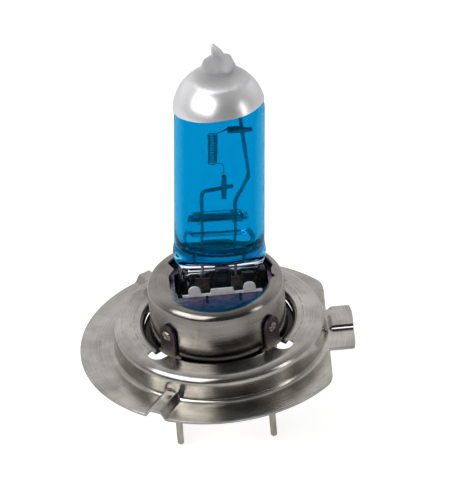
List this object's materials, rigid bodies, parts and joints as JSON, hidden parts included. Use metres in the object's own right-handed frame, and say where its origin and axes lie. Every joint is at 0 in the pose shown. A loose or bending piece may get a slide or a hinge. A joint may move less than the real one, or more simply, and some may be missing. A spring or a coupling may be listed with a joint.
{
  "type": "headlight bulb",
  "caption": "Halogen headlight bulb: tinted quartz capsule with silvered top, gripped in a steel collar on a keyed flange, with two flat blade terminals.",
  "frame": {"origin": "centre of the centring ring, in the plane of the brim's seating face (the face towards the glass)", "axes": "+Z along the cap axis towards the glass tip, +X towards the keying lug, +Y across the blades' wide faces"},
  "size_m": [0.0339, 0.0342, 0.0549],
  "materials": {
    "cap_steel": "satin, rolled and pressed stainless steel",
    "weld_tint": "heat-tinted brown and blue around a spot weld",
    "tempered_steel": "violet-blue temper colour, satin",
    "spring_steel": "bright sheared and rolled strip",
    "blue_glass": "blue filter coat on fused quartz, glossy",
    "bridge_glass": "clear, fire-polished",
    "silver_coat": "satin silver, fine crackle near the tip",
    "tungsten": "grey drawn wire",
    "molybdenum": "dark drawn wire and tube",
    "foil": "thin rolled foil, brownish",
    "ceramic": "unglazed off-white",
    "tinned_brass": "tinned, satin"
  },
  "bodies": {
    "root": {"flange_ring": "cap_steel", "collar": "cap_steel", "weld_rear_right": "weld_tint", "weld_rear_left": "weld_tint", "weld_front_left": "weld_tint", "weld_front_right": "weld_tint", "clip_plate": "tempered_steel", "front_spring_leaf": "spring_steel", "rear_spring_leaf": "spring_steel", "glass_envelope": "blue_glass", "glass_bridge": "bridge_glass", "silver_top_coat": "silver_coat", "filament": "tungsten", "long_lead": "molybdenum", "short_lead": "molybdenum", "lower_crimp": "molybdenum", "upper_crimp": "molybdenum", "long_foil": "foil", "short_foil": "foil", "insulator": "ceramic", "terminal_left": "tinned_brass", "terminal_right": "tinned_brass", "long_outer_lead": "tinned_brass", "short_outer_lead": "tinned_brass"}
  },
  "joints": []
}
